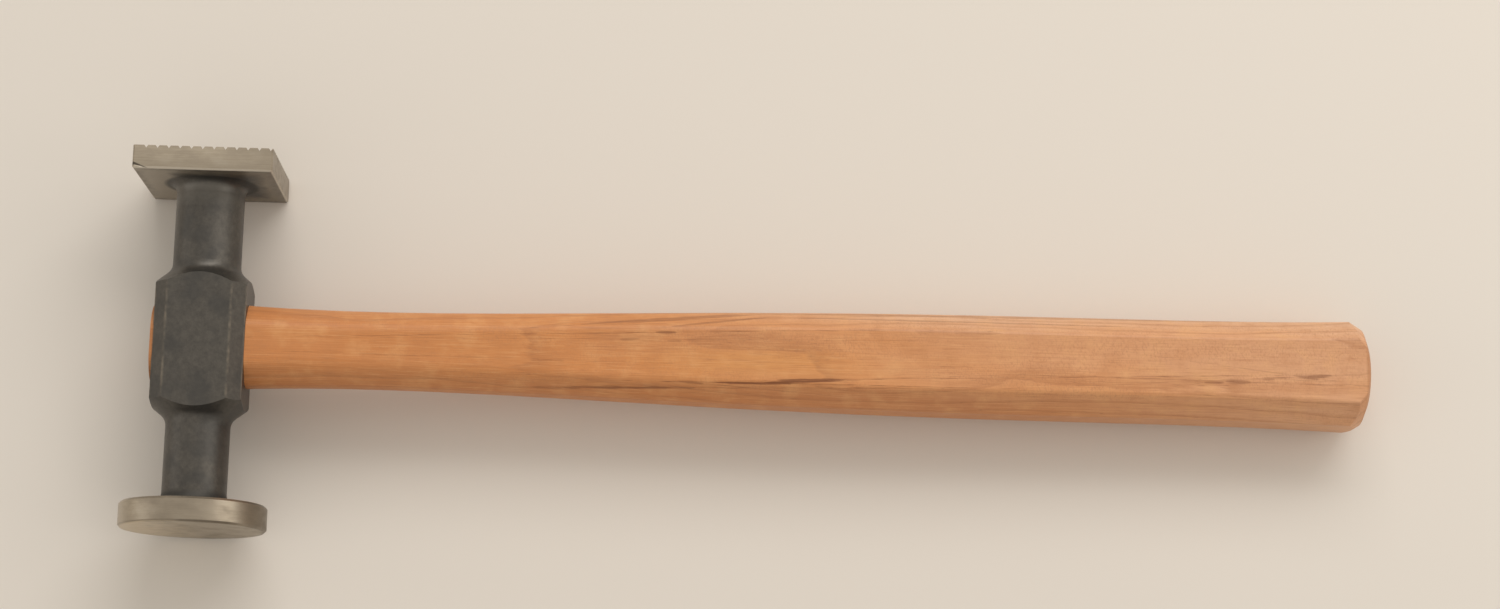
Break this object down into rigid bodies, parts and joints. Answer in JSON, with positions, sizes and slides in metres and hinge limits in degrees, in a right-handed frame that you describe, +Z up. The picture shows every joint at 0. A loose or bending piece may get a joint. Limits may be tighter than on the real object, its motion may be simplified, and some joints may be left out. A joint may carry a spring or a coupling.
{
  "type": "body hammer",
  "caption": "Shrinking hammer for car body panels: a flat round face and a cross-milled square face on a forged steel head, wedged on an eight-sided hickory handle.",
  "frame": {"origin": "on the bench, under the centre of the hammer's bounding box, as the hammer lies on its side", "axes": "+X along the handle from the head to the butt, +Y along the head from the round face to the square face, +Z up from the bench"},
  "size_m": [0.3292, 0.0992, 0.0386],
  "materials": {
    "forged_steel": "drop-forged steel, ground on the disc, the plate and the cheeks, dark forging skin on the necks",
    "hickory": "hickory, shaved to eight sides and lacquered",
    "wedge_wood": "plain hardwood, end grain showing, sanded flush with the tenon",
    "wedge_steel": "stamped steel, dull, barbed across its width"
  },
  "bodies": {
    "root": {"hammer_head": "forged_steel", "handle": "hickory", "wooden_wedge": "wedge_wood", "steel_wedge_left": "wedge_steel", "steel_wedge_right": "wedge_steel"}
  },
  "joints": []
}
